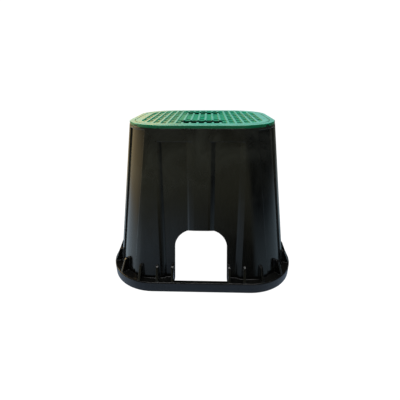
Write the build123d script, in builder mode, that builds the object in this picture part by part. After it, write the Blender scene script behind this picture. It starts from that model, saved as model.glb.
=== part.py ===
from build123d import *
from math import acos, cos, hypot, radians, sin, sqrt, tan
import os

# Irrigation valve box with a lid that rests on its rim.
# The tapered box is one moulding: a fluted wall on a broad flange, stiffened by gussets, with
# an arched opening for the pipes in the front and in the back.  The lid is a ribbed plate.
# Millimetres.  +Z is up, and the origin is on the ground under the middle of the box.

os.makedirs("parts", exist_ok=True)

# Lid, seen from above
lid_width = 270.8
lid_depth = 237.7
lid_corner = 75.5
lid_edge = 5.5
lid_plate = 4.2
lid_edge_chamfer = 0.9

# Box wall
box_height = 305.0
rim_reveal = 0.75
wall_lean = 7.8
wall_thickness = 4.5
base_corner_growth = 4.6
lip_width = 12.0
lip_thickness = 5.0

# Flange round the foot
flange_overhang = 14.2
flange_height = 20.8
flange_thickness = 4.5
skirt_thickness = 4.5
flange_edge_chamfer = 1.2

# Flutes in the wall, in pairs beside a middle rib, and one up each corner
rib_foot_front = 24.5
rib_foot_side = 20.0
flute_floor_front = 42.5
flute_floor_side = 27.0
flute_depth = 4.2
shoulder_radius = 26.0
shoulder_break_angle = 7.0
shoulder_facets = 3
corner_flute_angle = 34.0
corner_flute_depth = 2.6
collar_height = 21.0
rim_band = 3.5

# Gussets on the flange
gusset_thickness = 4.4
gusset_rise = 28.0
gusset_crest = 5.0
gusset_crest_chamfer = 2.2
gusset_toe_gap = 1.8
gusset_toe_height = 1.6
front_gusset_places = (54.2, 83.5)
side_gusset_places = (36.7, 66.0)
corner_gusset_angles = (16.0, 45.0, 74.0)

# Arched openings for the pipes
arch_width_top = 96.4
arch_width_bottom = 102.4
arch_height = 119.9
arch_corner = 36.0
arch_strip = 8.0

# Tread on top of the lid
tread_pitch = 13.3
tread_border = 21.5
tread_corner = 54.0
tread_rib = 3.8
tread_depth = 1.6
pit_size = 8.0
pit_depth = 1.2
smooth_half_width = 45.0
smooth_half_depth = 36.0
line_inset = 9.0
line_width = 1.6
line_depth = 0.8
boss_diameter = 8.4

# Hand holds through the lid
hold_width = 75.0
hold_depth = 27.0
hold_corner = 3.0
hold_offset = 70.0

# Underside of the lid
lid_play = 1.5
locator_thickness = 3.0
locator_depth = 14.0
stiffener_thickness = 3.0
stiffener_depth = 9.0
stiffener_spacing = 91.7

# Levels and sizes that follow
seat_height = box_height - lid_edge
rim_width = lid_width + 2 * rim_reveal
rim_depth = lid_depth + 2 * rim_reveal
rim_corner = lid_corner + rim_reveal
flute_top = seat_height - collar_height
gusset_band_top = flange_height + gusset_rise + gusset_crest
plain_top = seat_height - rim_band
lip_bottom = seat_height - lip_thickness
under_flange = flange_height - flange_thickness
wall_slope = tan(radians(wall_lean))
corner_slope = base_corner_growth / (seat_height - flange_height)


def wall_size(height, inset=0.0):
    """Half width, half depth and corner radius of the wall at a height."""
    spread = (seat_height - height) * wall_slope
    radius = rim_corner + (seat_height - height) * corner_slope
    return rim_width / 2 + spread - inset, rim_depth / 2 + spread - inset, radius - inset


def rounded_outline(half_width, half_depth, radius, mode=Mode.ADD):
    """Draw a rounded rectangle in the open sketch."""
    RectangleRounded(2 * half_width, 2 * half_depth, radius, mode=mode)


def corner_centres(half_width, half_depth, radius):
    """Centres of the four corner arcs, each with the direction of its diagonal."""
    x, y = half_width - radius, half_depth - radius
    return ((x, y, 45), (-x, y, 135), (-x, -y, 225), (x, -y, 315))


def wall_section(height, inset=0.0):
    """The wall's section at a height, with the shallow flute up each corner."""
    half_width, half_depth, radius = wall_size(height, inset)
    half_angle = radians(corner_flute_angle / 2)
    apex = -inset / sin(half_angle)
    reach = 2 * radius
    with BuildSketch(Plane.XY.offset(height)) as section:
        rounded_outline(half_width, half_depth, radius)
        for x, y, diagonal in corner_centres(half_width, half_depth, radius):
            with Locations(Location((x, y, 0), (0, 0, diagonal))):
                Polygon(
                    (apex, 0),
                    (apex + reach * cos(half_angle), -reach * sin(half_angle)),
                    (apex + reach * cos(half_angle), reach * sin(half_angle)),
                    align=None,
                    mode=Mode.SUBTRACT,
                )
            with Locations((x, y)):
                Circle(radius - corner_flute_depth)
    return section.sketch


def plain_section(height, inset=0.0):
    """The wall's section at a height, with no flutes."""
    with BuildSketch(Plane.XY.offset(height)) as section:
        rounded_outline(*wall_size(height, inset))
    return section.sketch


def flute_section(height, turn, middle, floor_width, growth):
    """Section of one straight flute, in the wall that faces -Y before it is turned."""
    half_width, half_depth, _ = wall_size(height)
    wall = half_depth if turn in (0, 180) else half_width
    break_angle = radians(shoulder_break_angle)
    break_level = shoulder_radius * cos(break_angle)
    foot_angle = acos((break_level - flute_depth) / shoulder_radius)
    reach = floor_width / 2 + shoulder_radius * sin(foot_angle)
    left_side = []
    for step in range(shoulder_facets + 1):
        angle = break_angle + (foot_angle - break_angle) * step / shoulder_facets
        level = break_level - shoulder_radius * cos(angle)
        left_side.append((-reach + shoulder_radius * sin(angle), level))
    outer = reach - shoulder_radius * sin(break_angle)
    right_side = [(-x, y) for x, y in reversed(left_side)]
    outline = [(-outer, -flute_depth), *left_side, *right_side, (outer, -flute_depth)]
    with BuildSketch(Plane.XY.offset(height).rotated((0, 0, turn))) as section:
        Polygon(*[(middle + x, y - wall) for x, y in outline], align=None)
        if growth:
            offset(amount=growth, kind=Kind.INTERSECTION, mode=Mode.REPLACE)
    return section.sketch


def cut_straight_flutes(bottom, top, growth=0.0):
    """Take the flutes beside each wall's middle rib out of the open part."""
    walls = (
        (0, rib_foot_front, flute_floor_front),
        (90, rib_foot_side, flute_floor_side),
        (180, rib_foot_front, flute_floor_front),
        (270, rib_foot_side, flute_floor_side),
    )
    for turn, rib_foot, floor_width in walls:
        upward = (-wall_slope * sin(radians(turn)), wall_slope * cos(radians(turn)), 1)
        length = (top - bottom) * hypot(1, wall_slope)
        for hand in (-1, 1):
            section = flute_section(bottom, turn, hand * (rib_foot + floor_width / 2), floor_width, growth)
            extrude(section, amount=length, dir=upward, mode=Mode.SUBTRACT)


def add_gusset(x, y, direction, wall_distance):
    """Add one gusset that stands out from (x, y) in a direction, against the wall's foot."""
    outward = (cos(radians(direction)), sin(radians(direction)), 0)
    sideways = (sin(radians(direction)), -cos(radians(direction)), 0)
    root = wall_distance - 5 * wall_thickness
    foot = flange_height - flange_thickness / 2
    crest_height = flange_height + gusset_rise
    crest = wall_distance - gusset_rise * wall_slope + gusset_crest
    toe = wall_distance + flange_overhang - gusset_toe_gap
    with BuildSketch(Plane(origin=(x, y, 0), x_dir=outward, z_dir=sideways)) as profile:
        Polygon(
            (root, foot),
            (toe, foot),
            (toe, flange_height + gusset_toe_height),
            (crest, crest_height),
            (root, crest_height),
            align=None,
        )
        chamfer(profile.vertices().sort_by(Axis.Y)[-2:].sort_by(Axis.X)[-1], gusset_crest_chamfer)
    extrude(profile.sketch, amount=gusset_thickness / 2, both=True)


foot_half_width, foot_half_depth, foot_corner = wall_size(flange_height)
flange_half_width = foot_half_width + flange_overhang
flange_half_depth = foot_half_depth + flange_overhang
flange_corner = foot_corner + flange_overhang
mouth_half_width = rim_width / 2 - lip_width
mouth_half_depth = rim_depth / 2 - lip_width
mouth_corner = rim_corner - lip_width

# Space inside the box, from the open foot to the mouth
with BuildPart() as inside:
    loft([wall_section(0, wall_thickness), wall_section(lip_bottom, wall_thickness)], ruled=True)
    cut_straight_flutes(under_flange, flute_top + wall_thickness, wall_thickness)
    with BuildSketch():
        rounded_outline(
            flange_half_width - skirt_thickness,
            flange_half_depth - skirt_thickness,
            flange_corner - skirt_thickness,
        )
    extrude(amount=under_flange)
    with BuildSketch(Plane.XY.offset(lip_bottom)):
        rounded_outline(mouth_half_width, mouth_half_depth, mouth_corner)
    extrude(amount=lip_thickness)

# Box: flange, fluted wall, gussets, the space inside and the arched openings
with BuildPart() as box_body:
    with BuildSketch():
        rounded_outline(flange_half_width, flange_half_depth, flange_corner)
    extrude(amount=flange_height)
    chamfer(faces().sort_by(Axis.Z)[-1].edges(), flange_edge_chamfer)
    loft([wall_section(flange_height), wall_section(gusset_band_top), wall_section(plain_top)], ruled=True)
    loft([plain_section(plain_top), plain_section(seat_height)], ruled=True)
    cut_straight_flutes(flange_height, flute_top)
    for place in front_gusset_places:
        for x in (-place, place):
            add_gusset(x, 0, 270, foot_half_depth)
            add_gusset(x, 0, 90, foot_half_depth)
    for place in side_gusset_places:
        for y in (-place, place):
            add_gusset(0, y, 180, foot_half_width)
            add_gusset(0, y, 0, foot_half_width)
    for x, y, diagonal in corner_centres(foot_half_width, foot_half_depth, foot_corner):
        for angle in corner_gusset_angles:
            add_gusset(x, y, diagonal - 45 + angle, foot_corner)
    add(inside.part, mode=Mode.SUBTRACT)
    with BuildSketch(Plane.XZ):
        with BuildLine():
            FilletPolyline(
                (-arch_width_bottom / 2, 0),
                (-arch_width_top / 2, arch_height),
                (arch_width_top / 2, arch_height),
                (arch_width_bottom / 2, 0),
                radius=arch_corner,
            )
            Line((-arch_width_bottom / 2, 0), (arch_width_bottom / 2, 0))
        make_face()
    extrude(amount=flange_half_depth - arch_strip, both=True, mode=Mode.SUBTRACT)

box_body.part.label = "box_body"
export_step(box_body.part, "parts/box_body.step")

field_half_width = lid_width / 2 - tread_border
field_half_depth = lid_depth / 2 - tread_border
locator_half_width = mouth_half_width - lid_play
locator_half_depth = mouth_half_depth - lid_play
locator_corner = mouth_corner - lid_play
plate_recess = lid_edge - lid_plate


def field_reach(x):
    """How far the tread field reaches in Y at a distance x from the lid's middle."""
    past_corner = abs(x) - (field_half_width - tread_corner)
    if past_corner <= 0:
        return field_half_depth
    return field_half_depth - tread_corner + sqrt(max(tread_corner**2 - past_corner**2, 0))


def pit_places():
    """Middles of the pits: every second place along each channel, staggered from one to the next."""
    channels = int(field_half_width / tread_pitch)
    rows = int(field_half_depth / tread_pitch)
    places = []
    for channel in range(-channels, channels + 1):
        for row in range(-rows, rows + 1):
            x, y = channel * tread_pitch, row * tread_pitch
            in_step = (channel + row) % 2 == 1
            in_field = abs(y) + pit_size / 2 < field_reach(abs(x) + pit_size / 2)
            in_smooth_middle = abs(x) < smooth_half_width and abs(y) < smooth_half_depth
            in_hold = abs(x) < hold_width / 2 and abs(abs(y) - hold_offset) < hold_depth / 2
            if in_step and in_field and not in_hold and not in_smooth_middle:
                places.append((x, y))
    return places


# Lid: a plate with a ribbed tread, two hand holds, and a locating wall and stiffeners below
with BuildPart() as lid:
    with BuildSketch(Plane.XY.offset(seat_height)):
        rounded_outline(lid_width / 2, lid_depth / 2, lid_corner)
    extrude(amount=lid_edge)
    chamfer(faces().sort_by(Axis.Z)[-1].edges(), lid_edge_chamfer)
    with BuildSketch(Plane.XY.offset(seat_height)):
        rounded_outline(
            locator_half_width - locator_thickness,
            locator_half_depth - locator_thickness,
            locator_corner - locator_thickness,
        )
    extrude(amount=plate_recess, mode=Mode.SUBTRACT)
    with BuildSketch(Plane.XY.offset(seat_height - locator_depth)):
        rounded_outline(locator_half_width, locator_half_depth, locator_corner)
        rounded_outline(
            locator_half_width - locator_thickness,
            locator_half_depth - locator_thickness,
            locator_corner - locator_thickness,
            mode=Mode.SUBTRACT,
        )
    extrude(amount=locator_depth)
    with BuildSketch(Plane.XY.offset(seat_height - stiffener_depth)):
        with GridLocations(stiffener_spacing, 0, 2, 1):
            Rectangle(stiffener_thickness, 2 * locator_half_depth - locator_thickness)
        with GridLocations(0, stiffener_spacing, 1, 2):
            Rectangle(2 * locator_half_width - locator_thickness, stiffener_thickness)
    extrude(amount=stiffener_depth + plate_recess)
    with BuildSketch(Plane.XY.offset(box_height)):
        rounded_outline(field_half_width, field_half_depth, tread_corner)
        with GridLocations(tread_pitch, 0, 2 * int(field_half_width / tread_pitch) + 2, 1):
            Rectangle(tread_rib, lid_depth, mode=Mode.SUBTRACT)
        Circle(boss_diameter / 2, mode=Mode.SUBTRACT)
    extrude(amount=-tread_depth, mode=Mode.SUBTRACT)
    with BuildSketch(Plane.XY.offset(box_height - tread_depth)):
        with Locations(*pit_places()):
            Rectangle(pit_size, pit_size)
    extrude(amount=-pit_depth, mode=Mode.SUBTRACT)
    with BuildSketch(Plane.XY.offset(box_height)):
        rounded_outline(lid_width / 2 - line_inset, lid_depth / 2 - line_inset, lid_corner - line_inset)
        rounded_outline(
            lid_width / 2 - line_inset - line_width,
            lid_depth / 2 - line_inset - line_width,
            lid_corner - line_inset - line_width,
            mode=Mode.SUBTRACT,
        )
    extrude(amount=-line_depth, mode=Mode.SUBTRACT)
    with BuildSketch(Plane.XY.offset(seat_height - locator_depth)):
        with GridLocations(0, 2 * hold_offset, 1, 2):
            RectangleRounded(hold_width, hold_depth, hold_corner)
    extrude(amount=locator_depth + lid_edge, mode=Mode.SUBTRACT)

lid.part.label = "lid"
export_step(lid.part, "parts/lid.step")

print("flange %.1f x %.1f mm" % (2 * flange_half_width, 2 * flange_half_depth))
print("box body %.0f cm3, lid %.0f cm3" % (box_body.part.volume / 1000, lid.part.volume / 1000))
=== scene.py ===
import math

import bpy
from mathutils import Matrix, Vector


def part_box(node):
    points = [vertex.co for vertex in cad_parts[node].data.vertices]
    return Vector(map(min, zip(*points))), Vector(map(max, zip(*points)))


# Irrigation valve box: a glossy black fluted body with a ribbed green lid on its rim.
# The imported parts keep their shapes. This script gives them their plastics, then adds
# the camera, the floor and the light. Lengths are in metres.

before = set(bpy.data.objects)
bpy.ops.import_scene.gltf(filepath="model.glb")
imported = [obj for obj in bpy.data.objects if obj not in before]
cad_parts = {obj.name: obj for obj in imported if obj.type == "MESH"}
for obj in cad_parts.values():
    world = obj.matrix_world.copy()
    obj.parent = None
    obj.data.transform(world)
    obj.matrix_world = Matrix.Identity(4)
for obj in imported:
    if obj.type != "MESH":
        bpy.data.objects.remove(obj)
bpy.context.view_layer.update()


# Small helpers for shader nodes. "place" is where a node stands in the node editor.

def newNode(tree, kind, place, **settings):
    node = tree.nodes.new(kind)
    node.location = place
    for name, value in settings.items():
        setattr(node, name, value)
    return node


def setInputs(node, values):
    for name, value in values.items():
        node.inputs[name].default_value = value


def link(tree, fromSocket, toSocket):
    tree.links.new(fromSocket, toSocket)


def feed(tree, value, socket):  # the value is a number, a colour or another node's socket
    if isinstance(value, bpy.types.NodeSocket):
        link(tree, value, socket)
    else:
        socket.default_value = value


def mathNode(tree, operation, place, first, second=0.0, clamp=False):
    node = newNode(tree, "ShaderNodeMath", place, operation=operation, use_clamp=clamp)
    feed(tree, first, node.inputs[0])
    feed(tree, second, node.inputs[1])
    return node.outputs[0]


def rangeNode(tree, place, value, fromRange, toRange=(0.0, 1.0), smooth=False):
    node = newNode(tree, "ShaderNodeMapRange", place, clamp=True)
    node.interpolation_type = "SMOOTHSTEP" if smooth else "LINEAR"
    setInputs(node, {"From Min": fromRange[0], "From Max": fromRange[1]})
    setInputs(node, {"To Min": toRange[0], "To Max": toRange[1]})
    link(tree, value, node.inputs["Value"])
    return node.outputs["Result"]


def mixColours(tree, place, factor, first, second):
    node = newNode(tree, "ShaderNodeMix", place, data_type="RGBA")
    feed(tree, factor, node.inputs[0])
    feed(tree, first, node.inputs[6])  # 6, 7 and output 2 are the sockets for colours
    feed(tree, second, node.inputs[7])
    return node.outputs[2]


def noiseNode(tree, place, coordinates, size, detail, roughness, distortion=0.0):
    node = newNode(tree, "ShaderNodeTexNoise", place)
    setInputs(node, {"Detail": detail, "Roughness": roughness, "Distortion": distortion})
    link(tree, coordinates, node.inputs["Vector"])
    scale = mathNode(tree, "DIVIDE", (place[0] - 300, place[1]), 1.0, size)  # size is in metres
    link(tree, scale, node.inputs["Scale"])
    return node.outputs["Fac"]


def newGroup(name, inputs, outputs):
    tree = bpy.data.node_groups.new(name, "ShaderNodeTree")
    for socketName, value in inputs.items():
        socket = tree.interface.new_socket(
            name=socketName, in_out="INPUT", socket_type="NodeSocketFloat")
        socket.default_value = value
    for socketName, socketType in outputs.items():
        tree.interface.new_socket(name=socketName, in_out="OUTPUT", socket_type=socketType)
    given = newNode(tree, "NodeGroupInput", (-1200, 0))
    result = newNode(tree, "NodeGroupOutput", (900, 0))
    return tree, given.outputs, result.inputs


# Rounded edges: moulded edges catch a thin line of light, and the same test finds the edges that
# the body paints paler, partly for wear and partly as a painted highlight

def makeEdgeGroup():
    tree, given, result = newGroup(
        "roundedEdges",
        {"Radius": 0.001, "Sharpness": 4.0},
        {"Normal": "NodeSocketVector", "Edge": "NodeSocketFloat"},
    )
    bevel = newNode(tree, "ShaderNodeBevel", (-800, 100), samples=8)
    link(tree, given["Radius"], bevel.inputs["Radius"])
    geometry = newNode(tree, "ShaderNodeNewGeometry", (-800, -150))
    alike = newNode(tree, "ShaderNodeVectorMath", (-500, 0), operation="DOT_PRODUCT")
    link(tree, bevel.outputs["Normal"], alike.inputs[0])
    link(tree, geometry.outputs["Normal"], alike.inputs[1])
    turned = mathNode(tree, "SUBTRACT", (-300, 0), 1.0, alike.outputs["Value"])
    edge = mathNode(tree, "MULTIPLY", (-100, 0), turned, given["Sharpness"], clamp=True)
    link(tree, bevel.outputs["Normal"], result["Normal"])
    link(tree, edge, result["Edge"])
    return tree


# Moulded surface: fine grain, broad flow marks and upright drag streaks

def makeGrainGroup():
    tree, given, result = newGroup(
        "mouldedGrain",
        {"Grain Size": 0.0006, "Flow Size": 0.05, "Streak Size": 0.006},
        {"Grain": "NodeSocketFloat", "Flow": "NodeSocketFloat", "Streaks": "NodeSocketFloat"},
    )
    coordinates = newNode(tree, "ShaderNodeTexCoord", (-1200, 300)).outputs["Object"]
    stretch = newNode(tree, "ShaderNodeMapping", (-900, -300))
    stretch.inputs["Scale"].default_value = (1.0, 1.0, 0.06)  # draws the streaks out upright
    link(tree, coordinates, stretch.inputs["Vector"])
    upright = stretch.outputs["Vector"]
    grain = noiseNode(tree, (-500, 300), coordinates, given["Grain Size"], 3.0, 0.6)
    flow = noiseNode(tree, (-500, 0), coordinates, given["Flow Size"], 4.0, 0.55, 0.8)
    streaks = noiseNode(tree, (-500, -300), upright, given["Streak Size"], 3.0, 0.6)
    link(tree, grain, result["Grain"])
    link(tree, flow, result["Flow"])
    link(tree, streaks, result["Streaks"])
    return tree


# Dust: thin pale patches, most of them on faces that look up

def makeDustGroup():
    tree, given, result = newGroup(
        "settledDust",
        {"Amount": 0.3, "Patch Size": 0.03},
        {"Dust": "NodeSocketFloat"},
    )
    patchRange = (0.45, 0.8)
    leastShare = 0.25  # what upright faces keep of the dust on level ones
    coordinates = newNode(tree, "ShaderNodeTexCoord", (-1200, 300)).outputs["Object"]
    patches = noiseNode(tree, (-600, 300), coordinates, given["Patch Size"], 6.0, 0.7)
    spread = rangeNode(tree, (-300, 300), patches, patchRange, smooth=True)
    geometry = newNode(tree, "ShaderNodeNewGeometry", (-900, -100))
    split = newNode(tree, "ShaderNodeSeparateXYZ", (-700, -100))
    link(tree, geometry.outputs["Normal"], split.inputs["Vector"])
    upward = rangeNode(tree, (-500, -100), split.outputs["Z"], (0.0, 1.0), (leastShare, 1.0))
    lying = mathNode(tree, "MULTIPLY", (-100, 100), upward, spread)
    dust = mathNode(tree, "MULTIPLY", (100, 100), lying, given["Amount"], clamp=True)
    link(tree, dust, result["Dust"])
    return tree


edgeGroup = makeEdgeGroup()
grainGroup = makeGrainGroup()
dustGroup = makeDustGroup()
print("stage: shared finishes made")


# What both plastics have in common

def newMaterial(name):
    material = bpy.data.materials.new(name)
    material.use_nodes = True
    tree = material.node_tree
    tree.nodes.clear()
    output = newNode(tree, "ShaderNodeOutputMaterial", (1200, 0))
    surface = newNode(tree, "ShaderNodeBsdfPrincipled", (900, 0))
    link(tree, surface.outputs["BSDF"], output.inputs["Surface"])
    return material, tree, surface


def useGroup(tree, group, place, values):
    node = newNode(tree, "ShaderNodeGroup", place)
    node.node_tree = group
    setInputs(node, values)
    return node.outputs


def startPlastic(name, look):
    material, tree, plastic = newMaterial(name)
    coordinates = newNode(tree, "ShaderNodeTexCoord", (-1500, 700))
    position = newNode(tree, "ShaderNodeSeparateXYZ", (-1300, 700))
    link(tree, coordinates.outputs["Object"], position.inputs["Vector"])
    effects = {
        "position": position.outputs,
        "edges": useGroup(tree, edgeGroup, (-900, 300), look["edges"]),
        "grain": useGroup(tree, grainGroup, (-900, 0), look["grain"]),
        "dust": useGroup(tree, dustGroup, (-900, -300), look["dust"]),
    }
    return material, tree, plastic, effects


def finishPlastic(tree, plastic, look, effects, colour, marks):
    dust = effects["dust"]["Dust"]
    dusty = mixColours(tree, (500, 300), dust, colour, look["dustColour"])
    link(tree, dusty, plastic.inputs["Base Color"])
    rough = rangeNode(tree, (0, -100), marks, look["marksRange"], look["roughnessRange"])
    dustyRough = mathNode(tree, "ADD", (300, -100), rough, dust, clamp=True)
    link(tree, dustyRough, plastic.inputs["Roughness"])
    bump = newNode(tree, "ShaderNodeBump", (500, -300))
    setInputs(bump, {"Strength": 1.0, "Distance": look["grainDepth"]})
    link(tree, effects["grain"]["Grain"], bump.inputs["Height"])
    link(tree, effects["edges"]["Normal"], bump.inputs["Normal"])
    link(tree, bump.outputs["Normal"], plastic.inputs["Normal"])
    setInputs(plastic, {"IOR": look["ior"], "Specular IOR Level": look["specular"]})


def dress(nodeName, material):
    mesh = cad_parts[nodeName].data
    mesh.materials.clear()
    mesh.materials.append(material)


# Body: black polyethylene with flow marks, paler in patches towards the top, and sharp edges
# painted paler, partly for wear and partly as a painted highlight

bodyLook = {
    "black": (0.0035, 0.0036, 0.0034, 1.0),
    "blackPale": (0.007, 0.0072, 0.0062, 1.0),
    "blotchRange": (0.40, 0.75),  # the flow marks that turn the black pale
    # a paler tone that grows towards the top of the wall, in patches
    "upperPale": (0.031, 0.034, 0.029, 1.0),
    "upperPaleHeights": (0.16, 0.27),  # it grows from the first height up to the second
    "upperPalePatches": (0.35, 0.65),  # the flow marks that hold it
    "upperPaleLeast": 0.15,  # the share that stays between them
    # paler paint on sharp edges: partly wear, partly a painted highlight of the light lines the
    # edges catch
    "edgeWearAndHighlight": (0.03, 0.032, 0.034, 1.0),
    "edgeWearAndHighlightShare": 0.8,  # share of that colour on a sharp edge
    "edges": {"Radius": 0.0014, "Sharpness": 5.0},
    "grain": {"Grain Size": 0.0007, "Flow Size": 0.06, "Streak Size": 0.008},
    "grainDepth": 0.00002,
    "marksRange": (0.7, 1.3),  # flow marks and streaks together
    "roughnessRange": (0.15, 0.25),
    "dust": {"Amount": 0.02, "Patch Size": 0.02},
    "dustColour": (0.06, 0.06, 0.055, 1.0),
    "ior": 1.5,
    "specular": 0.5,
}


def makeBodyPlastic(look):
    material, tree, plastic, effects = startPlastic("blackPlastic", look)
    flow = effects["grain"]["Flow"]
    blotch = rangeNode(tree, (-600, 100), flow, look["blotchRange"], smooth=True)
    base = mixColours(tree, (-300, 200), blotch, look["black"], look["blackPale"])
    # paler towards the top, in patches
    raised = rangeNode(tree, (-1100, 700), effects["position"]["Z"], look["upperPaleHeights"])
    patchy = rangeNode(tree, (-900, 700), flow, look["upperPalePatches"], (look["upperPaleLeast"], 1.0))
    upperPale = mathNode(tree, "MULTIPLY", (-700, 700), raised, patchy)
    upperPaled = mixColours(tree, (-150, 500), upperPale, base, look["upperPale"])
    # sharp edges painted paler: partly wear, partly a painted highlight
    wearAndHighlight = mathNode(tree, "MULTIPLY", (-600, 400), effects["edges"]["Edge"], look["edgeWearAndHighlightShare"])
    wornAndHighlighted = mixColours(tree, (0, 250), wearAndHighlight, upperPaled, look["edgeWearAndHighlight"])
    marks = mathNode(tree, "ADD", (-300, -100), flow, effects["grain"]["Streaks"])
    finishPlastic(tree, plastic, look, effects, wornAndHighlighted, marks)
    return material


# Lid: green polyethylene, high faces painted pale (partly rubbing, partly a painted reflection),
# painted shade in the pits and on the sides

lidLook = {
    "green": (0.002, 0.35, 0.19, 1.0),
    # painted shade down in the pits
    "greenPitShade": (0.001, 0.05, 0.025, 1.0),
    # a darker copy of the green: painted shade on the lid's sides
    "greenSideShade": (0.0006, 0.21, 0.085, 1.0),
    # pale high faces: partly rubbing, partly a painted reflection of the bright surroundings
    # behind the lid
    "rubbedReflection": (0.07, 0.49, 0.36, 1.0),
    "rubbedReflectionPale": (0.20, 0.62, 0.50, 1.0),
    "blotchRange": (0.35, 0.70),  # the flow marks that make the pale high faces paler still
    "treadDepth": 0.0016,  # from the top of the ribs to the channels
    "treadReach": (0.117, 0.100),  # from the lid's middle to the sides of the tread
    "rubbedReflectionDepths": (0.3, 0.05),  # where the pale high faces begin and end, in tread depths
    "pitDepths": (1.2, 1.04),  # where the painted shade in the pits is full and where the pits begin
    "edges": {"Radius": 0.0005},
    "grain": {"Grain Size": 0.0008, "Flow Size": 0.05},
    "grainDepth": 0.00004,
    "marksRange": (0.3, 0.7),  # flow marks alone
    "roughnessRange": (0.24, 0.36),
    "dust": {"Amount": 0.10, "Patch Size": 0.02},
    "dustColour": (0.45, 0.46, 0.36, 1.0),
    "ior": 1.5,
    "specular": 0.35,
}


def makeLidPlastic(look):
    material, tree, plastic, effects = startPlastic("greenPlastic", look)
    position, flow = effects["position"], effects["grain"]["Flow"]
    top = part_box("lid")[1].z
    reachX, reachY = look["treadReach"]
    rubbedReflectionHeights = [top - share * look["treadDepth"] for share in look["rubbedReflectionDepths"]]
    pitHeights = [top - share * look["treadDepth"] for share in look["pitDepths"]]
    high = rangeNode(tree, (-1200, 900), position["Z"], rubbedReflectionHeights)
    # painted shade: darker below the channel floors of the tread
    pitShadeRamp = rangeNode(tree, (-1200, 700), position["Z"], pitHeights, (1.0, 0.0))
    offX = mathNode(tree, "ABSOLUTE", (-1300, 500), position["X"])
    offY = mathNode(tree, "ABSOLUTE", (-1300, 350), position["Y"])
    insideX = mathNode(tree, "LESS_THAN", (-1150, 500), offX, reachX)
    insideY = mathNode(tree, "LESS_THAN", (-1150, 350), offY, reachY)
    tread = mathNode(tree, "MULTIPLY", (-1000, 450), insideX, insideY)
    pitShade = mathNode(tree, "MULTIPLY", (-900, 600), pitShadeRamp, tread)
    # painted shade on the faces outside the tread
    floors = mixColours(tree, (-700, 600), tread, look["greenSideShade"], look["green"])
    base = mixColours(tree, (-500, 500), pitShade, floors, look["greenPitShade"])
    # the high faces painted pale: partly rubbing, partly a painted reflection
    blotch = rangeNode(tree, (-700, 100), flow, look["blotchRange"])
    rubbedReflection = mixColours(tree, (-500, 200), blotch, look["rubbedReflection"], look["rubbedReflectionPale"])
    colour = mixColours(tree, (-100, 400), high, base, rubbedReflection)
    finishPlastic(tree, plastic, look, effects, colour, flow)
    return material


dress("box_body", makeBodyPlastic(bodyLook))
dress("lid", makeLidPlastic(lidLook))
print("stage: plastics made")


# Camera, set for a picture of 400 x 400 pixels. Angles are in radians.

cameraSet = {
    "pictureWidth": 400.0,
    "focalPixels": 264.7,
    "sensorWidth": 0.036,
    "pitch": 0.425,
    "distance": 0.5635,
    "height": 0.3722,
    "orbit": 0.021,
    "aimPixels": 2.5,  # how far the camera looks to the side of the box's middle
    "nearest": 0.01,
    "farthest": 50.0,
}


def makeCamera(settings):
    data = bpy.data.cameras.new("camera")
    data.sensor_width = settings["sensorWidth"] * 1000  # Blender wants millimetres here
    data.lens = data.sensor_width * settings["focalPixels"] / settings["pictureWidth"]
    data.clip_start = settings["nearest"]
    data.clip_end = settings["farthest"]
    camera = bpy.data.objects.new("camera", data)
    bpy.context.scene.collection.objects.link(camera)
    orbit = settings["orbit"]
    spot = Vector((
        settings["distance"] * math.sin(orbit),
        -settings["distance"] * math.cos(orbit),
        settings["height"],
    ))
    turn = Matrix.Rotation(orbit, 4, "Z")
    tilt = Matrix.Rotation(math.pi / 2 - settings["pitch"], 4, "X")
    aim = Matrix.Rotation(settings["aimPixels"] / settings["focalPixels"], 4, "Y")
    camera.matrix_world = Matrix.Translation(spot) @ turn @ tilt @ aim
    bpy.context.scene.camera = camera


makeCamera(cameraSet)


# Floor: pale paint that glows for the camera, so that it meets the white backdrop without a line

floorSet = {
    "size": 12.0,
    "colour": (0.93, 0.93, 0.93, 1.0),
    "roughness": 0.6,
    "glow": (1.13, 1.13, 1.13, 1.0),  # so far over 1 that its share alone is still white
    "glowShare": 0.9,
}


def makeFloor(settings):
    bpy.ops.object.select_all(action="DESELECT")
    bpy.ops.mesh.primitive_plane_add(size=settings["size"], location=(0, 0, 0))
    floor = bpy.context.object
    floor.name = "studio_floor"
    material, tree, paint = newMaterial("floorPaint")
    setInputs(paint, {"Base Color": settings["colour"], "Roughness": settings["roughness"]})
    glow = newNode(tree, "ShaderNodeEmission", (900, -300))
    setInputs(glow, {"Color": settings["glow"], "Strength": 1.0})
    path = newNode(tree, "ShaderNodeLightPath", (600, 300))
    seen = path.outputs["Is Camera Ray"]
    share = mathNode(tree, "MULTIPLY", (900, 300), seen, settings["glowShare"])
    mix = newNode(tree, "ShaderNodeMixShader", (1200, 200))
    link(tree, share, mix.inputs["Fac"])
    link(tree, paint.outputs["BSDF"], mix.inputs[1])
    link(tree, glow.outputs["Emission"], mix.inputs[2])
    link(tree, mix.outputs["Shader"], tree.nodes["Material Output"].inputs["Surface"])
    floor.data.materials.append(material)
    floor.visible_glossy = False  # the plastic mirrors the surroundings below the horizon instead
    floor.visible_shadow = False  # it doesn't block the light from below the horizon


makeFloor(floorSet)
print("stage: camera and floor made")


# Surroundings: the camera sees plain white, and the object sees broad soft panels of light.
# Azimuth is 0 in front of the box and grows to the right. Each panel has its azimuth, half its
# width, its elevation and half its height, all in degrees, and its colour. Its borders fade over
# "soft" degrees to either side. The ground goes all the way round.

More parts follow.
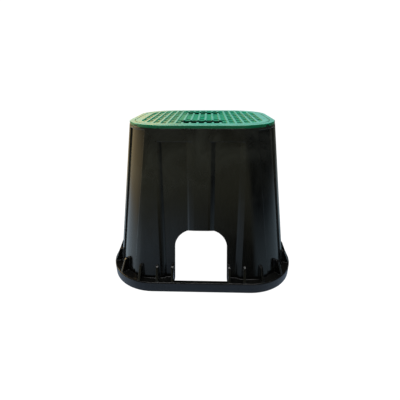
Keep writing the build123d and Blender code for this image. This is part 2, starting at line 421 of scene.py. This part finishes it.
worldSet = {
    "seen": (1.0, 1.0, 1.0, 1.0),
    "seenStrength": 1.1,
    "base": (0.01, 0.01, 0.01),  # the light between the panels
    "soft": 6.0,
    "panels": {
        "leftWall": (-106.0, 34.0, -4.0, 9.0, (1.00, 0.78, 0.42)),
        "leftTable": (-100.0, 42.0, -24.0, 10.0, (0.85, 1.05, 1.20)),
        "frontWall": (-20.0, 50.0, -4.0, 9.0, (0.26, 0.26, 0.17)),
        "frontTable": (-30.0, 28.0, -19.0, 6.0, (0.35, 0.45, 0.55)),
        "rightTable": (90.0, 60.0, -22.0, 9.0, (0.28, 0.38, 0.45)),
        "behindLeft": (-165.0, 22.0, -9.0, 12.0, (0.45, 0.35, 0.16)),
        "behindRight": (150.0, 30.0, -9.0, 12.0, (0.12, 0.12, 0.10)),
        "ground": (0.0, 181.0, -46.0, 9.0, (0.35, 0.45, 0.60)),
        "warmWindow": (-163.0, 9.0, 10.0, 8.0, (2.0, 0.9, 0.3)),
        "backWall": (180.0, 8.0, 10.0, 8.0, (0.05, 0.10, 0.10)),
        "coolWindow": (163.0, 9.0, 10.0, 8.0, (0.40, 0.35, 0.45)),
    },
}


def addPanel(tree, row, direction, elevation, panel, soft):
    azimuth, halfWidth, middle, halfHeight, colour = panel
    turn, fade = math.radians(azimuth), math.radians(soft)
    halfWide, halfHigh = math.radians(halfWidth), math.radians(halfHeight)
    side = newNode(tree, "ShaderNodeVectorMath", (-900, row), operation="DOT_PRODUCT")
    side.inputs[1].default_value = (math.cos(turn), math.sin(turn), 0.0)
    ahead = newNode(tree, "ShaderNodeVectorMath", (-900, row - 150), operation="DOT_PRODUCT")
    ahead.inputs[1].default_value = (math.sin(turn), -math.cos(turn), 0.0)
    link(tree, direction, side.inputs[0])
    link(tree, direction, ahead.inputs[0])
    bearing = mathNode(
        tree, "ARCTAN2", (-700, row), side.outputs["Value"], ahead.outputs["Value"])
    aside = mathNode(tree, "ABSOLUTE", (-550, row), bearing)
    wideRange = (halfWide - fade, halfWide + fade)
    across = rangeNode(tree, (-400, row), aside, wideRange, (1.0, 0.0), smooth=True)
    above = mathNode(tree, "SUBTRACT", (-700, row - 150), elevation, math.radians(middle))
    offLevel = mathNode(tree, "ABSOLUTE", (-550, row - 150), above)
    highRange = (halfHigh - fade, halfHigh + fade)
    upright = rangeNode(tree, (-400, row - 150), offLevel, highRange, (1.0, 0.0), smooth=True)
    mask = mathNode(tree, "MULTIPLY", (-200, row), across, upright)
    tint = newNode(tree, "ShaderNodeVectorMath", (0, row), operation="SCALE")
    tint.inputs[0].default_value = colour
    link(tree, mask, tint.inputs["Scale"])
    return tint.outputs["Vector"]


def makeWorld(settings):
    world = bpy.data.worlds.new("studio")
    world.use_nodes = True
    tree = world.node_tree
    tree.nodes.clear()
    output = newNode(tree, "ShaderNodeOutputWorld", (1200, 0))
    coordinates = newNode(tree, "ShaderNodeTexCoord", (-1300, 0))
    direction = coordinates.outputs["Generated"]
    split = newNode(tree, "ShaderNodeSeparateXYZ", (-1100, 200))
    link(tree, direction, split.inputs["Vector"])
    elevation = mathNode(tree, "ARCSINE", (-1000, 200), split.outputs["Z"])
    total = newNode(tree, "ShaderNodeVectorMath", (200, 200), operation="ADD")
    total.inputs[0].default_value = settings["base"]
    for number, panel in enumerate(settings["panels"].values()):
        row = -400 * number
        tint = addPanel(tree, row, direction, elevation, panel, settings["soft"])
        link(tree, tint, total.inputs[1])
        following = newNode(tree, "ShaderNodeVectorMath", (400, row), operation="ADD")
        link(tree, total.outputs["Vector"], following.inputs[0])
        total = following
    glow = newNode(tree, "ShaderNodeBackground", (700, 0))
    link(tree, total.outputs["Vector"], glow.inputs["Color"])
    seen = newNode(tree, "ShaderNodeBackground", (700, -200))
    setInputs(seen, {"Color": settings["seen"], "Strength": settings["seenStrength"]})
    path = newNode(tree, "ShaderNodeLightPath", (700, 300))
    mix = newNode(tree, "ShaderNodeMixShader", (1000, 0))
    link(tree, path.outputs["Is Camera Ray"], mix.inputs["Fac"])
    link(tree, glow.outputs["Background"], mix.inputs[1])
    link(tree, seen.outputs["Background"], mix.inputs[2])
    link(tree, mix.outputs["Shader"], output.inputs["Surface"])
    bpy.context.scene.world = world


makeWorld(worldSet)


# Lamps: a large soft one overhead and a small warm one on the left

lampSet = {
    "ceiling": {
        "spot": (0.0, 0.0, 1.6),
        "target": (0.0, 0.0, 0.1),
        "sides": (1.2, 1.2),
        "colour": (1.0, 1.0, 1.0),
        "watts": 22.0,
    },
    "leftWarm": {
        "spot": (-0.85, 0.20, 0.62),
        "target": (-0.08, 0.0, 0.28),
        "sides": (0.4, 0.4),
        "colour": (1.0, 0.76, 0.42),
        "watts": 3.0,
    },
}


def makeLamp(name, settings):
    data = bpy.data.lights.new(name, "AREA")
    data.shape = "RECTANGLE"
    data.size, data.size_y = settings["sides"]
    data.color = settings["colour"]
    data.energy = settings["watts"]
    lamp = bpy.data.objects.new(name, data)
    bpy.context.scene.collection.objects.link(lamp)
    lamp.location = settings["spot"]
    aim = Vector(settings["target"]) - Vector(settings["spot"])
    lamp.rotation_euler = aim.to_track_quat("-Z", "Y").to_euler()
    lamp.visible_camera = False


for lampName, lampSettings in lampSet.items():
    makeLamp(lampName, lampSettings)
bpy.context.scene.view_settings.view_transform = "Standard"
print("stage: surroundings and lamps made")
